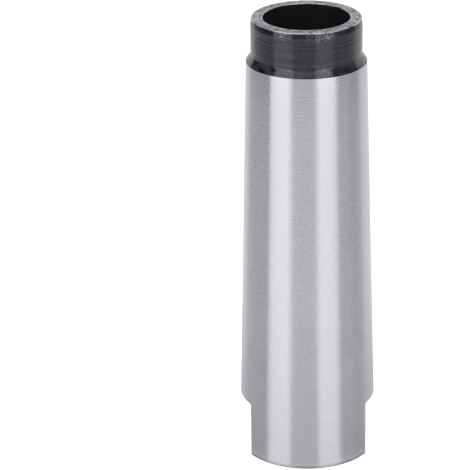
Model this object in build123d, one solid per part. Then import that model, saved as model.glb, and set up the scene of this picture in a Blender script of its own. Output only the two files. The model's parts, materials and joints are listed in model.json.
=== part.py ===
"""Taper reducing sleeve, number 3 outside to number 2 inside, for a drawbar.

The sleeve is one turned and ground piece of hardened steel. Its outside is a number 3
self-holding taper, its inside a number 2 socket that opens at the large end, and a plain
bore runs on through the small end for the drawbar. A cylindrical neck, below the taper's
small end in diameter, stands clear of the spindle. Two spanner flats are milled on the
large end.

Frame: millimetres, +Z along the axis from the large end to the small end. The origin is
the centre of the large end's face, and the flats look along +X and -X.
"""
import os

from build123d import *

# Outside taper, number 3: the diameter falls by 1 mm in each outer_taper_run of length.
outer_taper_run = 19.922
outer_gauge_diameter = 23.825
outer_gauge_height = 11.5

# Lengths along the axis.
sleeve_length = 80.0
neck_length = 6.4
flare_height = 1.25

# Neck, and the flare that joins it to the ground taper. The steps and the wall are radial.
neck_step = 0.835
neck_wall = 2.1
neck_lead_height = 1.1
neck_lead_step = 0.18
neck_end_round = 0.2
flare_root_round = 0.8
bore_end_chamfer = 0.1

# Socket, number 2. This wall leaves its gauge diameter, 17.780 mm, in the large end's face.
socket_taper_run = 20.020
large_end_wall = 3.311
socket_mouth_chamfer = 0.5

# Spanner flats on the large end. Their wall is the metal left beside the socket's mouth.
flats_wall = 1.31
flats_height = 10.0
flats_root_round = 0.4
flats_edge_break = 0.15

# Turned lead round the large end.
large_lead_height = 0.6
large_lead_step = 0.2

# Heights of the neck's foot and of the ground taper's small end.
neck_foot = sleeve_length - neck_length
taper_top = neck_foot - flare_height


def outer_radius(height):
    """Return the outside taper's radius at a height above the large end."""
    return (outer_gauge_diameter - (height - outer_gauge_height) / outer_taper_run) / 2


def socket_radius(height):
    """Return the socket taper's radius at a height above the large end."""
    return outer_radius(0) - large_end_wall - height / socket_taper_run / 2


neck_radius = outer_radius(taper_top) - neck_step
bore_radius = neck_radius - neck_wall
flat_distance = socket_radius(0) + flats_wall


def corner_near(profile, radius, height):
    """Return the profile's corner that lies nearest to a radius and a height."""
    return profile.vertices().sort_by_distance((radius, 0, height))[0]


def turned_blank():
    """Turn the outside: end lead, ground taper, flare, neck and the lead at its end."""
    end_radius = neck_radius - neck_lead_step
    outline = Polyline(
        (0, 0, 0),
        (outer_radius(0) - large_lead_step, 0, 0),
        (outer_radius(large_lead_height), 0, large_lead_height),
        (outer_radius(taper_top), 0, taper_top),
        (neck_radius, 0, neck_foot),
        (neck_radius, 0, sleeve_length - neck_lead_height),
        (end_radius, 0, sleeve_length),
        (0, 0, sleeve_length),
        close=True,
    )
    profile = make_face(outline)
    profile = fillet(corner_near(profile, neck_radius, neck_foot), flare_root_round)
    profile = fillet(corner_near(profile, end_radius, sleeve_length), neck_end_round)
    return revolve(profile, Axis.Z)


def through_hole():
    """Return what the drill and the reamer take out: the drawbar bore and the socket."""
    upright = (Align.CENTER, Align.CENTER, Align.MIN)
    drilled = Cylinder(bore_radius, sleeve_length, align=upright)
    reamed = Cone(socket_radius(0), socket_radius(sleeve_length), sleeve_length, align=upright)
    return drilled + reamed


def flat_cutter(side):
    """Return the metal milled away for one flat, on the side +1 or -1 along X."""
    reach = 2 * outer_radius(0)
    outline = Polyline(
        (side * flat_distance, 0, -reach),
        (side * reach, 0, -reach),
        (side * reach, 0, flats_height),
        (side * flat_distance, 0, flats_height),
        close=True,
    )
    section = make_face(outline)
    section = fillet(corner_near(section, side * flat_distance, flats_height), flats_root_round)
    return extrude(section, amount=reach, dir=(0, 1, 0), both=True)


def round_edge(shape, radius, height):
    """Return the shape's round edge with about this radius at about this height."""
    rings = shape.edges().filter_by(GeomType.CIRCLE)
    return min(rings, key=lambda edge: abs(edge.radius - radius) + abs(edge.center().Z - height))


def sleeve():
    """Build the whole sleeve."""
    body = turned_blank() - through_hole()
    body = chamfer(round_edge(body, socket_radius(0), 0), socket_mouth_chamfer)
    body = chamfer(round_edge(body, bore_radius, sleeve_length), bore_end_chamfer)
    for side in (1, -1):
        body = body - flat_cutter(side)
    flat_feet = body.edges().filter_by(GeomType.LINE).filter_by(Axis.Y).group_by(Axis.Z)[0]
    return chamfer(flat_feet, flats_edge_break)


os.makedirs("parts", exist_ok=True)
export_step(sleeve(), "parts/sleeve.step")
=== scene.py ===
"""Studio scene for the taper reducing sleeve: one turned and ground piece on a white table."""
import json
import logging
import math
import random
from contextlib import contextmanager
from dataclasses import dataclass
from enum import Enum
from typing import Callable, Iterator

import bmesh
import bpy
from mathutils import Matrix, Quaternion, Vector

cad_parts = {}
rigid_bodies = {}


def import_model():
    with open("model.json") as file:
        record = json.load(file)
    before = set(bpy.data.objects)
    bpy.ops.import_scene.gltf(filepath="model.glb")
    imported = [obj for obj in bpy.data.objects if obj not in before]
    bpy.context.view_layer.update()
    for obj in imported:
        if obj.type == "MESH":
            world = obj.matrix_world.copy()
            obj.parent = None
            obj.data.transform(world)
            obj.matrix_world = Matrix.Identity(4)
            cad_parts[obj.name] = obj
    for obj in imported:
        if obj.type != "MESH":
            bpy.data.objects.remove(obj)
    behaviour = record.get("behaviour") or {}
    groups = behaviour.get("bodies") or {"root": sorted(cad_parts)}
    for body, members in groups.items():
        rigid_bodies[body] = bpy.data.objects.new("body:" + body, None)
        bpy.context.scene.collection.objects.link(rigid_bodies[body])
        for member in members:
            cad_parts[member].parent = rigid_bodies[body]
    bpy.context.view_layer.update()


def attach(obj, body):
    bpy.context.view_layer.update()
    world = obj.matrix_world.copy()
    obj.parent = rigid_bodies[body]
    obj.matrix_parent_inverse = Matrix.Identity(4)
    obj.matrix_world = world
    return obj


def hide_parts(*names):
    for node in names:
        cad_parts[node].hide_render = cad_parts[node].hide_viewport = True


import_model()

ORIGIN = (0.0, 0.0, 0.0)
UPRIGHT = (0.0, 0.0, 1.0)
WHITE = (1.0, 1.0, 1.0)
MERGE_DISTANCE = 2e-7
SAME_PLACE = 1e-7
NEARBY = 1e-6
QUARTER_TURN = 0.25
NOISE_RANGE = (0.3, 0.7)
NODE_COLUMNS = 9
NODE_GAP = (-220, -260)
# The colour sockets of a Mix node, whose names repeat.
MIX_INPUTS = (6, 7)
MIX_OUTPUT = 2

log = logging.getLogger("sleeve")

Point = tuple[float, float]
Triple = tuple[float, float, float]
Colour = Triple
Chip = tuple[float, float, float, float]
Socket = bpy.types.NodeSocket


class Surface(Enum):
    """The finishes of the sleeve's faces, in the order of their material slots."""

    GROUND = 0
    OXIDE = 1
    RING = 2
    BORE = 3
    SOCKET = 4


# Modelling by hand


def deselect_all() -> None:
    """Leave every object unselected, the CAD nodes too."""
    for thing in bpy.context.view_layer.objects:
        thing.select_set(False)


def activate(thing: bpy.types.Object) -> None:
    """Make one object the only selected and the active one.

    Args:
        thing: the object to work on.
    """
    deselect_all()
    thing.select_set(True)
    bpy.context.view_layer.objects.active = thing


@contextmanager
def editing(thing: bpy.types.Object, mode: str = "VERT") -> Iterator[None]:
    """Keep an object in edit mode for the length of a with block.

    Args:
        thing: the object to edit.
        mode: what is selected: VERT, EDGE or FACE.

    Returns:
        The context in which the edit operators run.
    """
    activate(thing)
    bpy.ops.object.mode_set(mode="EDIT")
    bpy.ops.mesh.select_mode(type=mode)
    try:
        yield
    finally:
        bpy.ops.object.mode_set(mode="OBJECT")


def select_where(thing: bpy.types.Object, kind: str, test: Callable[..., bool]) -> int:
    """Select, in edit mode, the elements that pass a test.

    Args:
        thing: the object in edit mode.
        kind: verts, edges or faces.
        test: says of one bmesh element if it is wanted.

    Returns:
        How many are selected.
    """
    bpy.ops.mesh.select_all(action="DESELECT")
    work = bmesh.from_edit_mesh(thing.data)
    chosen = [part for part in getattr(work, kind) if test(part)]
    for part in chosen:
        part.select_set(True)
    work.select_flush_mode()
    bmesh.update_edit_mesh(thing.data)
    return len(chosen)


def middle(part: bmesh.types.BMEdge) -> Vector:
    """Return the middle of an edge."""
    return (part.verts[0].co + part.verts[1].co) / 2


def at_bearing(bearing: float, distance: float) -> Vector:
    """Return the level place at a bearing and a distance from the axis.

    Args:
        bearing: in radians, 0 towards the front (-Y) and a quarter turn towards +X.
        distance: in metres.

    Returns:
        The place, at height 0.
    """
    return Vector((math.sin(bearing), -math.cos(bearing), 0.0)) * distance


def close_up(thing: bpy.types.Object) -> None:
    """Merge doubles and turn all faces outwards.

    Args:
        thing: the object to clean.
    """
    with editing(thing):
        bpy.ops.mesh.select_all(action="SELECT")
        bpy.ops.mesh.remove_doubles(threshold=MERGE_DISTANCE)
        bpy.ops.mesh.normals_make_consistent(inside=False)


def rounded(before: Point, corner: Point, after: Point, radius: float, steps: int) -> list[Point]:
    """Return the points of a round that replaces a corner of a profile.

    Args:
        before: a point on the run that comes to the corner.
        corner: the corner.
        after: a point on the run that leaves it.
        radius: the round's radius.
        steps: how many chords it has.

    Returns:
        The round's points, from the first run to the second.
    """
    peak = Vector(corner)
    back = (Vector(before) - peak).normalized()
    ahead = (Vector(after) - peak).normalized()
    half = back.angle(ahead) / 2
    centre = peak + (back + ahead).normalized() * (radius / math.sin(half))
    first = peak + back * (radius / math.tan(half)) - centre
    last = peak + ahead * (radius / math.tan(half)) - centre
    sweep = first.angle_signed(last)
    points = []
    for step in range(steps + 1):
        turn = -sweep * step / steps
        spoke = Vector((
            first.x * math.cos(turn) - first.y * math.sin(turn),
            first.x * math.sin(turn) + first.y * math.cos(turn),
        ))
        points.append(tuple(centre + spoke))
    return points


# Materials


@dataclass(frozen=True)
class Grain:
    """A noise: its grains in a metre along X, Y and the height, and its finer layers."""

    scale: Triple
    detail: float = 2.0
    rough: float = 0.5


class Board:
    """A material's node board, with short calls that add and join nodes."""

    def __init__(self, name: str) -> None:
        """Start a material with one Principled shader.

        Args:
            name: the material's name.
        """
        self.material = bpy.data.materials.new(name)
        self.material.use_nodes = True
        self.tree = self.material.node_tree
        self.shader = self.tree.nodes["Principled BSDF"]
        self.place = self.add("ShaderNodeTexCoord").outputs["Object"]
        self.axes: bpy.types.Node | None = None
        self.radial: Socket | None = None
        self.lathe: Socket | None = None

    def add(self, kind: str, **settings: object) -> bpy.types.Node:
        """Add a node.

        Args:
            kind: the node's type name.
            **settings: properties to set on it.

        Returns:
            The new node.
        """
        node = self.tree.nodes.new(kind)
        row, column = divmod(len(self.tree.nodes), NODE_COLUMNS)
        node.location = (column * NODE_GAP[0], row * NODE_GAP[1])
        for key, value in settings.items():
            setattr(node, key, value)
        return node

    def feed(self, socket: Socket, value: object) -> None:
        """Join an output to a socket, or write a value on it.

        Args:
            socket: the input to feed.
            value: an output socket, a number, a colour or a vector.
        """
        if isinstance(value, Socket):
            self.tree.links.new(value, socket)
        else:
            socket.default_value = value

    def give(self, name: str, value: object) -> None:
        """Feed one of the shader's inputs.

        Args:
            name: the input's name.
            value: an output socket, a number or a colour.
        """
        self.feed(self.shader.inputs[name], value)

    def sum(self, kind: str, *values: object, clamp: bool = False) -> Socket:
        """Add a Math node.

        Args:
            kind: its operation.
            *values: outputs or numbers for its inputs, in order.
            clamp: True keeps the result between 0 and 1.

        Returns:
            Its output.
        """
        node = self.add("ShaderNodeMath", operation=kind, use_clamp=clamp)
        for socket, value in zip(node.inputs, values):
            self.feed(socket, value)
        return node.outputs[0]

    def axis(self, name: str) -> Socket:
        """Return the place along one axis.

        Args:
            name: X, Y or Z.

        Returns:
            The distance from the origin along it, in metres.
        """
        if self.axes is None:
            self.axes = self.add("ShaderNodeSeparateXYZ")
            self.feed(self.axes.inputs[0], self.place)
        return self.axes.outputs[name]

    def radius(self) -> Socket:
        """Return the distance from the sleeve's axis, in metres."""
        if self.radial is None:
            flat = self.add("ShaderNodeVectorMath", operation="MULTIPLY")
            self.feed(flat.inputs[0], self.place)
            self.feed(flat.inputs[1], (1.0, 1.0, 0.0))
            size = self.add("ShaderNodeVectorMath", operation="LENGTH")
            self.feed(size.inputs[0], flat.outputs[0])
            self.radial = size.outputs["Value"]
        return self.radial

    def lathe_place(self) -> Socket:
        """Return the place with the radius added to its height, so that lines run round.

        On the outside such lines are level, and on an end face they are rings.
        """
        if self.lathe is None:
            joined = self.add("ShaderNodeCombineXYZ")
            self.feed(joined.inputs["X"], self.axis("X"))
            self.feed(joined.inputs["Y"], self.axis("Y"))
            self.feed(joined.inputs["Z"], self.sum("ADD", self.axis("Z"), self.radius()))
            self.lathe = joined.outputs[0]
        return self.lathe

    def noise(self, grain: Grain) -> Socket:
        """Add a noise that is stretched along the lines that the lathe leaves.

        Args:
            grain: its scale and its layers.

        Returns:
            The noise's value, from 0 to 1.
        """
        mapping = self.add("ShaderNodeMapping")
        self.feed(mapping.inputs["Vector"], self.lathe_place())
        self.feed(mapping.inputs["Scale"], grain.scale)
        node = self.add("ShaderNodeTexNoise")
        self.feed(node.inputs["Vector"], mapping.outputs[0])
        self.feed(node.inputs["Scale"], 1.0)
        self.feed(node.inputs["Detail"], grain.detail)
        self.feed(node.inputs["Roughness"], grain.rough)
        return node.outputs["Fac"]

    def span(self, value: Socket, low: float, high: float, start: float = 0.0,
             end: float = 1.0, smooth: bool = False) -> Socket:
        """Map a value from one range to another, held at its ends.

        Args:
            value: the value.
            low: the lower end of its own range.
            high: the upper end of its own range.
            start: what the lower end becomes.
            end: what the upper end becomes.
            smooth: True eases in and out.

        Returns:
            The mapped value.
        """
        node = self.add("ShaderNodeMapRange", clamp=True)
        node.interpolation_type = "SMOOTHSTEP" if smooth else "LINEAR"
        for socket, number in zip(node.inputs, (value, low, high, start, end)):
            self.feed(socket, number)
        return node.outputs[0]

    def waver(self, noise: Socket, value: float, change: float) -> Socket:
        """Let a noise move a value to both sides.

        Args:
            noise: the noise.
            value: what it moves.
            change: how far it moves it to each side.

        Returns:
            The moved value.
        """
        return self.span(noise, *NOISE_RANGE, value - change, value + change)

    def blend(self, factor: object, first: object, second: object) -> Socket:
        """Mix two colours.

        Args:
            factor: how much of the second there is.
            first: a colour or an output.
            second: a colour or an output.

        Returns:
            The mixed colour.
        """
        node = self.add("ShaderNodeMix", data_type="RGBA")
        self.feed(node.inputs[0], factor)
        for index, value in zip(MIX_INPUTS, (first, second)):
            self.feed(node.inputs[index], (*value, 1.0) if isinstance(value, tuple) else value)
        return node.outputs[MIX_OUTPUT]

    def weigh(self, weights: tuple[float, ...], *values: Socket) -> Socket:
        """Add values up, each with its weight.

        Args:
            weights: the weights.
            *values: an output for each weight.

        Returns:
            The weighted sum.
        """
        total = 0.0
        for value, weight in zip(values, weights):
            total = self.sum("MULTIPLY_ADD", value, weight, total)
        return total

    def relief(self, height: Socket, depth: float) -> None:
        """Give the shader a bump.

        Args:
            height: the height, from 0 to 1.
            depth: the depth in metres that stands for 1.
        """
        node = self.add("ShaderNodeBump")
        self.feed(node.inputs["Height"], height)
        self.feed(node.inputs["Distance"], depth)
        self.give("Normal", node.outputs[0])

    def turned(self, amount: float) -> None:
        """Stretch the highlights along the axis, as fine lines round the sleeve do.

        Args:
            amount: how strong it is, from 0 to 1.
        """
        tangent = self.add("ShaderNodeTangent", direction_type="RADIAL", axis="Z")
        self.give("Tangent", tangent.outputs[0])
        self.give("Anisotropic", amount)
        self.give("Anisotropic Rotation", QUARTER_TURN)

    def end_with(self, surface: Socket) -> None:
        """Feed the material's surface from another shader instead.

        Args:
            surface: the other shader's output.
        """
        self.tree.nodes.remove(self.shader)
        self.feed(self.tree.nodes["Material Output"].inputs["Surface"], surface)


@dataclass(frozen=True)
class GroundSteel:
    """Bright steel from the cylindrical grinder, with fine lines round it.

    The lead at its foot is rougher. The edge round the end face is painted darker, as a line of
    painted shade, and painted brighter near the flats, as a painted highlight.
    """

    edge_radius: float
    lead_height: float
    name: str = "ground_steel"
    light: Colour = (0.518, 0.509, 0.569)
    dark: Colour = (0.506, 0.497, 0.556)
    # Painted shade along the edge round the end face, lightened to a painted highlight near the
    # flats.
    painted_edge_shade: Colour = (0.32, 0.314, 0.328)
    painted_edge_highlight: Colour = (0.66, 0.65, 0.70)
    painted_edge_heights: Point = (0.0001, 0.0003)
    painted_edge_band: Point = (0.00012, 0.00004)
    painted_highlight_reach: Point = (0.006, 0.009)
    lines: Grain = Grain((30.0, 30.0, 4200.0), 3.0, 0.6)
    scratches: Grain = Grain((420.0, 420.0, 7000.0))
    pits: Grain = Grain((3400.0, 3400.0, 2400.0), 1.0)
    cloud: Grain = Grain((110.0, 110.0, 60.0), 3.0)
    fine: Grain = Grain((60.0, 60.0, 9000.0), 1.0)
    tone_weights: Triple = (0.30, 0.40, 0.30)
    tone_range: Point = (0.38, 0.62)
    metal: float = 0.95
    roughness: float = 0.24
    cloud_change: float = 0.02
    pit_range: Point = (0.36, 0.64)
    pit_change: Point = (-0.017, 0.031)
    lead_roughness: float = 0.30
    lead_edge: float = 0.00006
    scratch_weights: Triple = (0.64, 0.16, 0.20)
    scratch_depth: float = 0.000045

    def make(self) -> bpy.types.Material:
        """Return the material."""
        board = Board(self.name)
        lines, scratches, pits, cloud, fine = (board.noise(grain) for grain in (
            self.lines, self.scratches, self.pits, self.cloud, self.fine))
        tone = board.weigh(self.tone_weights, lines, scratches, pits)
        skin = board.blend(board.span(tone, *self.tone_range), self.dark, self.light)
        # The edge round the end face gets a painted shade line, which turns into a painted
        # highlight near the flats.
        side = board.span(board.sum("ABSOLUTE", board.axis("X")), *self.painted_highlight_reach)
        edge = board.blend(side, self.painted_edge_shade, self.painted_edge_highlight)
        board.give("Base Color", board.blend(self.painted_foot_edge(board), skin, edge))
        lead = board.span(board.axis("Z"), self.lead_height - self.lead_edge, self.lead_height,
                          1.0, 0.0)
        board.give("Roughness", board.weigh(
            (1.0, 1.0, self.lead_roughness),
            board.span(pits, *self.pit_range, *self.pit_change),
            board.waver(cloud, self.roughness, self.cloud_change), lead))
        board.give("Metallic", self.metal)
        board.turned(1.0)
        board.relief(board.weigh(self.scratch_weights, fine, pits, scratches),
                     self.scratch_depth)
        return board.material

    def painted_foot_edge(self, board: Board) -> Socket:
        """Return 1 on the edge round the large end's face, where shade and a highlight are
        painted, and 0 elsewhere.

        Args:
            board: the material's board.

        Returns:
            The mask's output.
        """
        inner, outer = (self.edge_radius - width for width in self.painted_edge_band)
        return board.sum("MULTIPLY", board.span(board.axis("Z"), *self.painted_edge_heights, 1.0, 0.0),
                         board.span(board.radius(), inner, outer))


@dataclass(frozen=True)
class BlackOxide:
    """Black oxide over turned steel, rubbed on its crests and chipped to steel in places.

    The tool's marks run between two heights, and past them the steel is smoother. Up to
    flats_top, the film is rubbed off where it meets the taper's surface, which has
    base_radius at its foot. A chip is a spot (x, y, z) and the radius of the patch there.
    """

    name: str = "black_oxide"
    film: Colour = (0.0012, 0.0011, 0.0016)
    streak: Colour = (0.0080, 0.0075, 0.0095)
    crest: Colour = (0.040, 0.038, 0.045)
    bare: Colour = (0.16, 0.156, 0.175)
    sheen: Colour = (0.80, 0.77, 1.0)
    lines: Grain = Grain((60.0, 60.0, 3600.0), 3.0, 0.6)
    broken: Grain = Grain((330.0, 330.0, 2500.0))
    pits: Grain = Grain((3000.0, 3000.0, 3000.0))
    flecks: Grain = Grain((3200.0, 3200.0, 4200.0), 2.0, 0.6)
    tone_weights: Triple = (0.5, 0.3, 0.2)
    tone_range: Point = (0.40, 0.65)
    roughness: float = 0.25
    roughness_change: float = 0.06
    end_roughness: float = 0.55
    gloss_weights: Point = (0.55, 0.45)
    gloss_range: Point = (0.38, 0.62)
    gloss: Point = (0.37, 0.63)
    ior: float = 1.59
    oil: float = 0.50
    oil_roughness: float = 0.5
    oil_ior: float = 1.3
    relief_depth: float = 0.000040
    crest_radius: float = 1.0
    crest_band: Point = (6e-6, 1e-6)
    crest_range: Point = (0.45, 0.62)
    marks: Point = (0.0, 1.0)
    marks_fade: Point = (0.0001, 0.0002)
    flats_top: float = 0.0
    base_radius: float = 1.0
    taper_run: float = 1.0
    wear_band: Point = (0.00040, 0.00008)
    wear_fade: Point = (0.0002, 0.0004)
    wear_share: float = 0.5
    wear_range: Point = (0.80, 0.95)
    wear_amount: float = 0.9
    chips: tuple[Chip, ...] = ()
    chip_core: float = 0.3
    chip_share: float = 0.27
    chip_range: Point = (0.68, 0.90)
    chip_amount: float = 0.8

    def make(self) -> bpy.types.Material:
        """Return the material."""
        board = Board(self.name)
        lines, broken, pits = (board.noise(grain) for grain in (
            self.lines, self.broken, self.pits))
        gloss = board.weigh(self.gloss_weights, lines, pits)
        board.give("Specular IOR Level", board.span(gloss, *self.gloss_range, *self.gloss))
        tone = board.weigh(self.tone_weights, lines, broken, pits)
        skin = board.blend(board.span(tone, *self.tone_range), self.film, self.streak)
        inner, outer = (self.crest_radius - depth for depth in self.crest_band)
        rubbed = board.sum("MULTIPLY", board.span(board.radius(), inner, outer),
                           board.span(broken, *self.crest_range))
        skin = board.blend(rubbed, skin, self.crest)
        chipped = board.sum("MAXIMUM", self.chip_mask(board), self.edge_wear(board, broken, pits))
        board.give("Base Color", board.blend(chipped, skin, self.bare))
        board.give("Metallic", chipped)
        board.give("Roughness", board.sum(
            "MULTIPLY", self.marked(board),
            board.waver(broken, self.roughness, self.roughness_change)))
        board.give("IOR", self.ior)
        board.give("Specular Tint", (*self.sheen, 1.0))
        board.give("Coat Weight", self.oil)
        board.give("Coat Roughness", self.oil_roughness)
        board.give("Coat IOR", self.oil_ior)
        board.turned(1.0)
        board.relief(tone, self.relief_depth)
        return board.material

    def marked(self, board: Board) -> Socket:
        """Return 1 where the tool's marks run, and less on the smoother ends.

        Args:
            board: the material's board.

        Returns:
            The factor for the roughness.
        """
        low, high = self.marks
        centre, half = (low + high) / 2, (high - low) / 2
        before, past = self.marks_fade
        off = board.sum("ABSOLUTE", board.sum("SUBTRACT", board.axis("Z"), centre))
        return board.span(off, half - before, half + past, 1.0, self.end_roughness)

    def edge_wear(self, board: Board, *shares: Socket) -> Socket:
        """Return 1 along the edges of the flats, where the film is rubbed off.

        Args:
            board: the material's board.
            *shares: noises that break the worn line up.

        Returns:
            The mask's output.
        """
        rim = board.sum("MULTIPLY_ADD", board.axis("Z"), 0.5 / self.taper_run, board.radius())
        inner, outer = (self.base_radius - depth for depth in self.wear_band)
        low, high = (self.flats_top + rise for rise in self.wear_fade)
        total = board.span(rim, inner, outer, 0.0, self.wear_share)
        for share in shares:
            total = board.sum("MULTIPLY_ADD", share, self.wear_share, total)
        return board.sum("MULTIPLY", board.span(board.axis("Z"), low, high, 1.0, 0.0),
                         board.span(total, *self.wear_range, 0.0, self.wear_amount))

    def chip_mask(self, board: Board) -> Socket:
        """Return 1 where the film is chipped off, and 0 elsewhere.

        Args:
            board: the material's board.

        Returns:
            The mask's output.
        """
        flecks = board.noise(self.flecks)
        mask = 0.0
        for x, y, z, radius in self.chips:
            gap = board.add("ShaderNodeVectorMath", operation="DISTANCE")
            board.feed(gap.inputs[0], board.place)
            board.feed(gap.inputs[1], (x, y, z))
            near = board.span(gap.outputs["Value"], radius * self.chip_core, radius,
                              self.chip_share, 0.0)
            inside = board.span(board.sum("ADD", flecks, near), *self.chip_range,
                                0.0, self.chip_amount)
            mask = board.sum("MAXIMUM", mask, inside)
        return mask


@dataclass(frozen=True)
class FacedEnd:
    """Small end's face, rubbed back to mottled grey steel, with a painted highlight round both its
    edges.
    """

    edge_radius: float
    bore_radius: float
    name: str = "faced_end"
    dull: Colour = (0.058, 0.055, 0.068)
    rubbed: Colour = (0.405, 0.393, 0.453)
    # Painted highlight colour for both edges of the face.
    edge: Colour = (0.48, 0.467, 0.505)
    painted_edge_band: Point = (0.00030, 0.00010)
    rings: Grain = Grain((120.0, 120.0, 5000.0))
    patches: Grain = Grain((800.0, 800.0, 800.0), 3.0, 0.6)
    pits: Grain = Grain((2600.0, 2600.0, 2600.0))
    tone_weights: Triple = (0.15, 0.45, 0.40)
    tone_range: Point = (0.44, 0.56)
    painted_rim_range: Point = (0.35, 0.60)
    painted_rim_least: float = 0.2
    roughness: float = 0.38
    roughness_change: float = 0.06
    brushed: float = 0.6
    relief_depth: float = 0.00003

    def make(self) -> bpy.types.Material:
        """Return the material."""
        board = Board(self.name)
        rings, patches, pits = (board.noise(grain) for grain in (
            self.rings, self.patches, self.pits))
        tone = board.weigh(self.tone_weights, rings, patches, pits)
        skin = board.blend(board.span(tone, *self.tone_range), self.dull, self.rubbed)
        centre = (self.edge_radius + self.bore_radius) / 2
        half = (self.edge_radius - self.bore_radius) / 2
        off = board.sum("ABSOLUTE", board.sum("SUBTRACT", board.radius(), centre))
        inner, outer = (half - width for width in self.painted_edge_band)
        # Painted highlight round both edges of the face, broken up by the patches.
        worn = board.sum("MULTIPLY", board.span(off, inner, outer),
                         board.span(patches, *self.painted_rim_range, self.painted_rim_least))
        board.give("Base Color", board.blend(worn, skin, self.edge))
        board.give("Roughness", board.waver(patches, self.roughness, self.roughness_change))
        board.give("Metallic", 1.0)
        board.turned(self.brushed)
        board.relief(tone, self.relief_depth)
        return board.material


@dataclass(frozen=True)
class DarkBore:
    """Drilled bore with a dull black skin."""

    name: str = "dark_bore"
    film: Colour = (0.0106, 0.0082, 0.0101)
    worn: Colour = (0.0165, 0.0128, 0.0158)
    lines: Grain = Grain((80.0, 80.0, 2500.0), 3.0)
    roughness: float = 0.675
    roughness_change: float = 0.075
    ior: float = 1.2
    relief_depth: float = 0.00001

    def make(self) -> bpy.types.Material:
        """Return the material."""
        board = Board(self.name)
        lines = board.noise(self.lines)
        board.give("Base Color", board.blend(lines, self.film, self.worn))
        board.give("Roughness", board.waver(lines, self.roughness, self.roughness_change))
        board.give("IOR", self.ior)
        board.relief(lines, self.relief_depth)
        return board.material


# The sleeve


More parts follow.
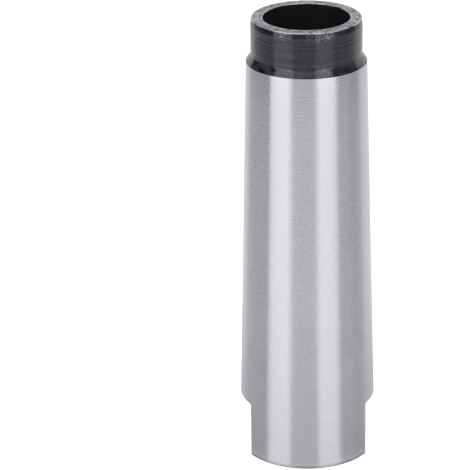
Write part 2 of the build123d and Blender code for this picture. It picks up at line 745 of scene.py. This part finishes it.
@dataclass
class TaperSleeve:
    """The sleeve: outside taper, flare, neck, drawbar bore, socket and two spanner flats.

    A chip's place is its bearing in degrees, 0 towards the front (-Y) and 90 towards +X, its
    depth below the small end's face and its radius.
    """

    length: float = 0.0800
    outer_run: float = 19.922
    gauge_diameter: float = 0.023825
    gauge_height: float = 0.0115
    neck_length: float = 0.0064
    flare_height: float = 0.00125
    neck_step: float = 0.000835
    neck_wall: float = 0.0021
    neck_lead: Point = (0.00018, 0.0011)
    end_round: float = 0.0002
    root_round: float = 0.0008
    shoulder_round: float = 0.00006
    foot_round: float = 0.0006
    lead_round: float = 0.0010
    bore_chamfer: float = 0.0001
    socket_run: float = 20.020
    end_wall: float = 0.003311
    mouth_chamfer: float = 0.0005
    large_lead: Point = (0.0002, 0.0006)
    flats_wall: float = 0.00131
    flats_height: float = 0.0100
    flats_root: float = 0.0004
    flats_break: float = 0.00015
    least_foot: float = 0.0025
    groove_pitch: float = 0.0004
    groove_wander: float = 0.2
    groove_depth: float = 0.000030
    groove_depths: Point = (0.5, 1.3)
    groove_seed: int = 7
    marks_rise: float = 0.0002
    skin_depth: float = 0.0002
    outer_rings: int = 9
    inner_rings: int = 5
    lathe_steps: int = 360
    smooth_angle: float = 28.0
    reamed_roughness: float = 0.3
    chip_places: tuple[Triple, ...] = (
        (-27.0, 0.0007, 0.0014), (2.0, 0.0007, 0.0012), (11.0, 0.0009, 0.0014),
        (20.0, 0.0009, 0.0015), (29.0, 0.0007, 0.0012), (18.0, 0.0070, 0.0014),
        (-4.0, 0.0074, 0.0010), (-47.0, 0.0070, 0.0005), (160.0, 0.0008, 0.0018),
        (95.0, 0.0074, 0.0012))

    def outer_radius(self, height: float) -> float:
        """Return the outside taper's radius at a height."""
        return (self.gauge_diameter - (height - self.gauge_height) / self.outer_run) / 2

    def socket_radius(self, height: float) -> float:
        """Return the socket's radius at a height."""
        return self.outer_radius(0.0) - self.end_wall - height / self.socket_run / 2

    @property
    def neck_foot(self) -> float:
        """Return the height where the flare meets the neck."""
        return self.length - self.neck_length

    @property
    def taper_top(self) -> float:
        """Return the height of the ground taper's small end."""
        return self.neck_foot - self.flare_height

    @property
    def neck_radius(self) -> float:
        """Return the neck's radius."""
        return self.outer_radius(self.taper_top) - self.neck_step

    @property
    def bore_radius(self) -> float:
        """Return the drawbar bore's radius."""
        return self.neck_radius - self.neck_wall

    @property
    def flat_distance(self) -> float:
        """Return how far each flat is from the axis."""
        return self.socket_radius(0.0) + self.flats_wall

    @property
    def socket_end(self) -> float:
        """Return the height where the socket has narrowed to the bore."""
        return (self.socket_radius(0.0) - self.bore_radius) * 2 * self.socket_run

    def outside_profile(self) -> list[Point]:
        """Return the outside from the large end's face up to the small end's face."""
        base = self.large_lead[1]
        foot = (self.outer_radius(base), base)
        face = (self.outer_radius(0.0) - self.large_lead[0], 0.0)
        top = (self.outer_radius(self.taper_top), self.taper_top)
        root = (self.neck_radius, self.neck_foot)
        lead = (self.neck_radius, self.length - self.neck_lead[1])
        rim = (self.neck_radius - self.neck_lead[0], self.length)
        points = [face] + rounded(face, foot, top, self.foot_round, steps=3)
        for ring in range(1, self.outer_rings):
            height = base + (self.taper_top - base) * ring / self.outer_rings
            points.append((self.outer_radius(height), height))
        points += rounded(foot, top, root, self.shoulder_round, steps=3)
        bend = rounded(top, root, lead, self.root_round, steps=6)
        points += bend + self.turning_marks(bend[-1][1], lead[1])
        points += rounded(root, lead, rim, self.lead_round, steps=4)
        points += rounded(lead, rim, (self.bore_radius, self.length), self.end_round, steps=5)
        return points

    def turning_marks(self, low: float, high: float) -> list[Point]:
        """Return the shallow scallops that the tool left round the neck.

        Args:
            low: the height of the neck's foot.
            high: the height where its rounded end starts.

        Returns:
            The points between the two heights.
        """
        hand = random.Random(self.groove_seed)
        count = round((high - low) / self.groove_pitch)
        edges = [low + (high - low) * step / count for step in range(count + 1)]
        wander = self.groove_wander
        edges[1:-1] = [edge + hand.uniform(-wander, wander) * self.groove_pitch
                       for edge in edges[1:-1]]
        points = []
        for start, end in zip(edges, edges[1:]):
            depth = self.groove_depth * hand.uniform(*self.groove_depths)
            for part in (0.25, 0.5, 0.75):
                sag = depth * 4 * part * (1 - part)
                points.append((self.neck_radius - sag, start + (end - start) * part))
            points.append((self.neck_radius, end))
        return points[:-1]

    def inside_profile(self) -> list[Point]:
        """Return the inside from the small end's face down to the large end's face."""
        rings = self.inner_rings
        points = [(self.bore_radius + self.bore_chamfer, self.length)]
        for ring in range(rings):
            share = 1 - ring / rings
            height = self.socket_end + (self.length - self.bore_chamfer - self.socket_end) * share
            points.append((self.bore_radius, height))
        for ring in range(rings):
            height = self.socket_end + (self.mouth_chamfer - self.socket_end) * ring / rings
            points.append((self.socket_radius(height), height))
        points.append((self.socket_radius(self.mouth_chamfer), self.mouth_chamfer))
        points.append((self.socket_radius(0.0) + self.mouth_chamfer, 0.0))
        return points

    def turn(self) -> bpy.types.Object:
        """Draw the profile point by point and spin it round the axis.

        Returns:
            The turned blank.
        """
        profile = self.outside_profile() + self.inside_profile()
        deselect_all()
        bpy.ops.mesh.primitive_plane_add(size=self.end_wall, location=ORIGIN)
        blank = bpy.context.active_object
        blank.name = blank.data.name = "taper_sleeve"
        with editing(blank):
            bpy.ops.mesh.select_all(action="SELECT")
            bpy.ops.mesh.merge(type="CENTER")
            radius, height = profile[0]
            bpy.ops.transform.translate(value=(radius, 0.0, height))
            for (r0, h0), (r1, h1) in zip(profile, profile[1:]):
                bpy.ops.mesh.extrude_vertices_move(
                    TRANSFORM_OT_translate={"value": (r1 - r0, 0.0, h1 - h0)})
            ends = [Vector((r, 0.0, h)) for r, h in (profile[0], profile[-1])]
            select_where(blank, "verts",
                         lambda v: min((v.co - end).length for end in ends) < SAME_PLACE)
            bpy.ops.mesh.edge_face_add()
            bpy.ops.mesh.select_all(action="SELECT")
            bpy.ops.mesh.spin(steps=self.lathe_steps, angle=math.tau, use_auto_merge=True,
                              center=ORIGIN, axis=UPRIGHT)
        close_up(blank)
        return blank

    def flat_cutter(self, side: int) -> bpy.types.Object:
        """Make the block that one flat is milled away with.

        Args:
            side: +1 or -1, the side along X.

        Returns:
            The block.
        """
        reach = self.gauge_diameter
        deselect_all()
        bpy.ops.mesh.primitive_cube_add(
            size=1.0,
            scale=(reach, 2 * reach, reach),
            location=(side * (self.flat_distance + reach / 2), 0.0, self.flats_height - reach / 2))
        block = bpy.context.active_object
        bpy.ops.object.transform_apply(location=True, rotation=True, scale=True)
        with editing(block, "EDGE"):
            select_where(block, "edges", lambda e: (
                abs(middle(e).z - self.flats_height) < NEARBY
                and abs(middle(e).x - side * self.flat_distance) < NEARBY))
            bpy.ops.mesh.bevel(offset=self.flats_root, segments=6, affect="EDGES")
        return block

    def mill_flats(self, sleeve: bpy.types.Object) -> None:
        """Mill the two spanner flats and break their feet.

        Args:
            sleeve: the turned blank.
        """
        for side in (1, -1):
            block = self.flat_cutter(side)
            cut = sleeve.modifiers.new("flat", "BOOLEAN")
            cut.operation, cut.solver, cut.object = "DIFFERENCE", "EXACT", block
            activate(sleeve)
            bpy.ops.object.modifier_apply(modifier=cut.name)
            bpy.data.objects.remove(block)
        with editing(sleeve, "EDGE"):
            select_where(sleeve, "edges", lambda e: (
                abs(middle(e).z) < NEARBY and e.calc_length() > self.least_foot
                and abs(abs(middle(e).x) - self.flat_distance) < NEARBY))
            bpy.ops.mesh.bevel(offset=self.flats_break, segments=2, affect="EDGES")
        close_up(sleeve)

    def surface_of(self, face: bmesh.types.BMFace) -> Surface:
        """Say which finish a face has, from its place and normal.

        Args:
            face: a face of the sleeve.

        Returns:
            Its finish.
        """
        centre = face.calc_center_median()
        radius = math.hypot(centre.x, centre.y)
        outwards = face.normal.x * centre.x + face.normal.y * centre.y
        if centre.z > self.length - self.end_round:
            return Surface.RING
        if centre.z < NEARBY:
            return Surface.GROUND
        if outwards < 0 and radius < self.socket_radius(0.0) + self.mouth_chamfer:
            return Surface.BORE if centre.z > self.socket_end else Surface.SOCKET
        ground = centre.z < self.taper_top and (
            radius > self.outer_radius(centre.z) - self.skin_depth)
        return Surface.GROUND if outwards > 0 and ground else Surface.OXIDE

    def rim_chips(self) -> tuple[Chip, ...]:
        """Return the chipped places round the neck's end and on the flare."""
        return tuple((*at_bearing(math.radians(bearing), self.neck_radius).xy,
                      self.length - drop, radius)
                     for bearing, drop, radius in self.chip_places)

    def dress(self, sleeve: bpy.types.Object) -> None:
        """Give each face its finish and shade the sleeve.

        Args:
            sleeve: the finished mesh.
        """
        sleeve.data.materials.clear()
        finishes = {
            Surface.GROUND: GroundSteel(self.outer_radius(0.0) - self.large_lead[0],
                                        self.large_lead[1]),
            Surface.OXIDE: BlackOxide(
                crest_radius=self.neck_radius, chips=self.rim_chips(),
                flats_top=self.flats_height, base_radius=self.outer_radius(0.0),
                taper_run=self.outer_run,
                marks=(self.neck_foot + self.marks_rise, self.length - self.neck_lead[1])),
            Surface.RING: FacedEnd(self.neck_radius - self.neck_lead[0], self.bore_radius),
            Surface.BORE: DarkBore(),
            Surface.SOCKET: GroundSteel(self.gauge_diameter, 0.0, "reamed_steel",
                                        roughness=self.reamed_roughness),
        }
        for finish in finishes.values():
            sleeve.data.materials.append(finish.make())
        with editing(sleeve, "FACE"):
            for surface in finishes:
                count = select_where(sleeve, "faces", lambda f: self.surface_of(f) is surface)
                sleeve.active_material_index = surface.value
                bpy.ops.object.material_slot_assign()
                log.info("%s: %d faces", surface.name.lower(), count)
        activate(sleeve)
        bpy.ops.object.shade_smooth_by_angle(angle=math.radians(self.smooth_angle))

    def build(self) -> bpy.types.Object:
        """Make the whole piece, attach it to the root body and hide the CAD node that it replaces.

        Returns:
            The finished object.
        """
        sleeve = self.turn()
        self.mill_flats(sleeve)
        self.dress(sleeve)
        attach(sleeve, "root")
        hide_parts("sleeve")
        return sleeve


# Studio


@dataclass(frozen=True)
class Softbox:
    """A soft panel lamp that stands on the table, seen from the sleeve between two bearings.

    Its bearings and its top and bottom, seen from the sleeve's foot, are in degrees.
    """

    name: str
    start: float
    end: float
    top: float
    level: float
    bottom: float = 0.0
    distance: float = 0.60
    tint: Colour = (1.0, 0.995, 0.91)

    def build(self) -> bpy.types.Object:
        """Make the lamp, out of the camera's sight.

        Returns:
            The lamp.
        """
        bearing = math.radians((self.start + self.end) / 2)
        width = 2 * self.distance * math.tan(math.radians((self.end - self.start) / 2))
        low = self.distance * math.tan(math.radians(self.bottom))
        height = self.distance * math.tan(math.radians(self.top)) - low
        spot = at_bearing(bearing, self.distance)
        deselect_all()
        bpy.ops.object.light_add(type="AREA", location=(spot.x, spot.y, low + height / 2),
                                 rotation=(math.pi / 2, 0.0, bearing))
        lamp = bpy.context.active_object
        lamp.name = self.name
        lamp.data.shape = "RECTANGLE"
        lamp.data.size, lamp.data.size_y = width, height
        lamp.data.energy = self.level * math.pi * width * height
        lamp.data.color = self.tint
        lamp.visible_camera = False
        return lamp


@dataclass(frozen=True)
class Card:
    """A card round the table that glows at its level and is seen only in the metal's reflections:
    a painted reflection that darkens what the metal shows there, black where its level is 0.

    Its bearings and its top, seen from the sleeve's foot, are in degrees.
    """

    name: str
    start: float
    end: float
    top: float
    level: float
    distance: float = 0.75
    panel: float = 10.0

    def build(self) -> bpy.types.Object:
        """Make the card, out of the camera's sight.

        Returns:
            The card.
        """
        steps = max(2, round((self.end - self.start) / self.panel))
        height = self.distance * math.tan(math.radians(self.top))
        deselect_all()
        bpy.ops.mesh.primitive_plane_add(size=height, location=ORIGIN)
        card = bpy.context.active_object
        card.name = self.name
        with editing(card):
            bpy.ops.mesh.select_all(action="SELECT")
            bpy.ops.mesh.merge(type="CENTER")
            bpy.ops.transform.translate(
                value=at_bearing(math.radians(self.start), self.distance))
            bpy.ops.mesh.extrude_vertices_move(
                TRANSFORM_OT_translate={"value": (0.0, 0.0, height)})
            bpy.ops.mesh.select_all(action="SELECT")
            bpy.ops.mesh.spin(steps=steps, angle=math.radians(self.start - self.end),
                              center=ORIGIN, axis=UPRIGHT)
        board = Board(self.name)
        # The card glows at its level rather than being lit, and is hidden from the camera, from
        # diffuse light and from shadows: a painted reflection.
        glow = board.add("ShaderNodeEmission")
        board.feed(glow.inputs["Strength"], self.level)
        board.end_with(glow.outputs[0])
        card.data.materials.append(board.material)
        card.visible_camera = card.visible_diffuse = card.visible_shadow = False
        return card


@dataclass(frozen=True)
class PaintedSector:
    """A part of the table between two bearings, in degrees, where the metal shows painted light: a
    painted pool of light where the change is positive, painted shade where it is negative.

    The change is added to the factor there, and runs between two distances from the axis.
    """

    start: float
    end: float
    near: float
    far: float
    reaches: Point = (0.02, 0.16)
    edge: float = 1.0

    def add_to(self, total: object, board: Board, bearing: Socket, reach: Socket) -> Socket:
        """Add the change to the table's factor.

        Args:
            total: the factor so far.
            board: the table's board.
            bearing: the bearing in radians.
            reach: the distance from the axis.

        Returns:
            The new factor.
        """
        centre = math.radians((self.start + self.end) / 2)
        half = math.radians((self.end - self.start) / 2)
        soft = math.radians(self.edge)
        off = board.sum("ABSOLUTE", board.sum("SUBTRACT", bearing, centre))
        inside = board.span(off, half - soft, half + soft, 1.0, 0.0)
        change = board.span(reach, *self.reaches, self.near, self.far)
        return board.sum("MULTIPLY_ADD", inside, change, total)


@dataclass(frozen=True)
class Viewpoint:
    """The camera: where it stands, what it looks at, its roll and its lens."""

    spot: Triple = (-0.00959, -0.39051, 0.20387)
    aim: Triple = (-0.012621, 0.0, 0.040086)
    roll: float = -0.0150
    lens: float = 184.772
    sensor: float = 36.0
    clip: Point = (0.01, 20.0)

    def build(self) -> bpy.types.Object:
        """Set up the camera.

        Returns:
            The camera.
        """
        deselect_all()
        bpy.ops.object.camera_add(location=self.spot)
        camera = bpy.context.active_object
        ahead = Vector(self.aim) - Vector(self.spot)
        look = ahead.to_track_quat("-Z", "Y") @ Quaternion(UPRIGHT, self.roll)
        camera.rotation_euler = look.to_euler()
        camera.data.sensor_width = self.sensor
        camera.data.lens = self.lens
        camera.data.clip_start, camera.data.clip_end = self.clip
        bpy.context.scene.camera = camera
        return camera


@dataclass(frozen=True)
class Studio:
    """White table and surroundings, with lamps and cards round them.

    For glossy and transmission rays the table glows with a painted reflection at its own levels,
    which run over three distances from the axis, darker near the sleeve as painted shade, and
    change in some sectors: a painted pool of light towards each softbox and painted shade towards
    the cards. Under the sleeve the painted level is even. The sleeve is round, so it shows a near
    bearing as if from half its radius out.
    """

    table_size: float = 8.0
    table_drop: float = 0.00005
    table_level: float = 0.90
    table_paint: Colour = (0.8, 0.8, 0.8)
    # Levels of the table's painted reflection, lower near the sleeve as painted shade.
    painted_mirror_levels: Triple = (0.293, 0.598, 0.50)
    mirror_reaches: Triple = (0.012, 0.10, 0.32)
    # Even painted level of the reflection under the sleeve.
    painted_foot_level: float = 0.52
    foot_reach: Point = (0.0130, 0.0134)
    half_radius: float = 0.006
    least_reach: float = 0.001
    # Painted tint of the painted pool of light towards each softbox, and the range it is laid
    # over.
    painted_pool_tint: Colour = (1.0, 0.995, 0.94)
    painted_pool_range: Point = (1.0, 1.2)
    ambient: float = 0.35
    # A painted pool of light towards each softbox, and painted shade towards the cards.
    sectors: tuple[PaintedSector, ...] = (
        PaintedSector(-72.6, -30.5, 1.16, 0.345),
        PaintedSector(17.3, 56.0, 0.99, 0.285),
        PaintedSector(-135.0, -97.0, -0.36, -0.36),
        PaintedSector(-97.0, -72.6, -0.43, -0.325, (0.02, 0.07)),
        PaintedSector(56.0, 85.0, -0.32, -0.25, (0.02, 0.07)),
        PaintedSector(85.0, 116.0, -0.42, -0.42),
    )
    lamps: tuple[Softbox, ...] = (
        Softbox("softbox_left_low", -71.2, -30.2, 34.0, 1.10),
        Softbox("softbox_left_high", -71.2, -30.2, 66.0, 1.5, bottom=34.0),
        Softbox("softbox_right_low", 17.2, 55.5, 34.0, 1.05),
        Softbox("softbox_right_high", 17.2, 55.5, 66.0, 1.4, bottom=34.0),
        Softbox("softbox_top", -29.0, 17.0, 66.0, 0.55, bottom=42.0),
    )
    # Cards that glow at fixed levels and are seen only in reflections: painted reflections, black
    # where the level is 0.
    cards: tuple[Card, ...] = (
        Card("grey_card_front", -31.0, 18.0, 75.0, 0.44),
        Card("black_card_left", -130.0, -70.0, 75.0, 0.0),
        Card("grey_card_right", 54.0, 84.0, 75.0, 0.28),
        Card("black_card_right", 84.0, 112.0, 75.0, 0.0),
    )

    def seen(self, tree: bpy.types.NodeTree) -> Socket:
        """Return 1 for camera, glossy and transmission rays.

        Args:
            tree: the node tree to add the nodes to.

        Returns:
            The output that holds it.
        """
        path = tree.nodes.new("ShaderNodeLightPath")
        total = path.outputs["Is Camera Ray"]
        for name in ("Is Glossy Ray", "Is Transmission Ray"):
            node = tree.nodes.new("ShaderNodeMath")
            node.operation, node.use_clamp = "ADD", True
            tree.links.new(total, node.inputs[0])
            tree.links.new(path.outputs[name], node.inputs[1])
            total = node.outputs[0]
        return total

    def painted_pools_and_shade(self, board: Board) -> Socket:
        """Return how bright the table's painted reflection is: a painted pool of light towards
        each softbox, the front as it is, and painted shade towards the sides.

        Args:
            board: the table's board.

        Returns:
            The factor, 1 towards the front.
        """
        reach = board.radius()
        bearing = board.sum("ARCTAN2", board.axis("X"),
                            board.sum("MULTIPLY", board.axis("Y"), -1.0))
        beyond = board.sum("MAXIMUM", board.sum("SUBTRACT", reach, self.half_radius),
                           self.least_reach)
        bearing = board.sum("DIVIDE", board.sum("MULTIPLY", bearing, reach), beyond)
        total = 1.0
        for sector in self.sectors:
            total = sector.add_to(total, board, bearing, reach)
        return total

    def painted_reflection_level(self, board: Board, painted_pools_and_shade: Socket) -> Socket:
        """Return the level of the table's painted reflection: lower near the sleeve, as painted
        shade, and even under it.

        Args:
            board: the table's board.
            painted_pools_and_shade: the factor of the sectors, with their painted light and
                painted shade.

        Returns:
            The level.
        """
        reach = board.radius()
        near, centre, far = self.painted_mirror_levels
        start, turn, end = self.mirror_reaches
        rise = board.span(reach, start, turn, near, centre, smooth=True)
        fall = board.span(reach, turn, end, centre, far, smooth=True)
        level = board.sum("MULTIPLY", board.sum("MINIMUM", rise, fall), painted_pools_and_shade)
        return board.sum("MULTIPLY_ADD", board.span(reach, *self.foot_reach, 1.0, 0.0),
                         board.sum("SUBTRACT", self.painted_foot_level, level), level)

    def build_table(self) -> bpy.types.Object:
        """Make the white table.

        Returns:
            The table's object.
        """
        deselect_all()
        bpy.ops.mesh.primitive_plane_add(size=self.table_size,
                                         location=(0.0, 0.0, -self.table_drop))
        table = bpy.context.active_object
        table.name = "white_table"
        board = Board("white_table")
        path = board.add("ShaderNodeLightPath")
        # Painted light and shade of the reflection: a painted pool of light towards each softbox,
        # and painted shade towards the cards and near the sleeve. Only glossy and transmission
        # rays see it; camera rays see an even white.
        painted_pools_and_shade = self.painted_pools_and_shade(board)
        others = board.sum("ADD", path.outputs["Is Glossy Ray"],
                           path.outputs["Is Transmission Ray"], clamp=True)
        painted_pool_warmth = board.sum("MULTIPLY", others, board.span(painted_pools_and_shade, *self.painted_pool_range))
        direct = board.sum("MULTIPLY", path.outputs["Is Camera Ray"], self.table_level)
        glow = board.add("ShaderNodeEmission")
        board.feed(glow.inputs["Color"], board.blend(painted_pool_warmth, WHITE, self.painted_pool_tint))
        board.feed(glow.inputs["Strength"],
                   board.sum("MULTIPLY_ADD", others, self.painted_reflection_level(board, painted_pools_and_shade), direct))
        paint = board.add("ShaderNodeBsdfDiffuse")
        board.feed(paint.inputs["Color"], (*self.table_paint, 1.0))
        both = board.add("ShaderNodeAddShader")
        board.feed(both.inputs[0], glow.outputs[0])
        board.feed(both.inputs[1], paint.outputs[0])
        clear = board.add("ShaderNodeBsdfTransparent")
        side = board.add("ShaderNodeNewGeometry")
        choice = board.add("ShaderNodeMixShader")
        board.feed(choice.inputs[0], side.outputs["Backfacing"])
        board.feed(choice.inputs[1], both.outputs[0])
        board.feed(choice.inputs[2], clear.outputs[0])
        board.end_with(choice.outputs[0])
        table.data.materials.append(board.material)
        return table

    def build_world(self) -> None:
        """Make the surroundings white where they are seen, and a soft grey as light."""
        world = bpy.data.worlds.new("studio")
        bpy.context.scene.world = world
        world.use_nodes = True
        tree = world.node_tree
        back = tree.nodes["Background"]
        back.inputs["Color"].default_value = (*WHITE, 1.0)
        level = tree.nodes.new("ShaderNodeMapRange")
        tree.links.new(self.seen(tree), level.inputs[0])
        level.inputs["To Min"].default_value = self.ambient
        tree.links.new(level.outputs[0], back.inputs["Strength"])

    def build_lamps(self) -> None:
        """Stand the lamps and the cards round the table."""
        for thing in self.lamps + self.cards:
            thing.build()


def main() -> None:
    """Build the studio and the sleeve, and report each."""
    logging.basicConfig(level=logging.INFO, format="%(name)s: %(message)s")
    bpy.context.scene.view_settings.view_transform = "Standard"
    Viewpoint().build()
    studio = Studio()
    studio.build_table()
    studio.build_world()
    studio.build_lamps()
    log.info("studio ready")
    piece = TaperSleeve().build()
    log.info("%s: %d faces", piece.name, len(piece.data.polygons))


if __name__ == "__main__":
    main()
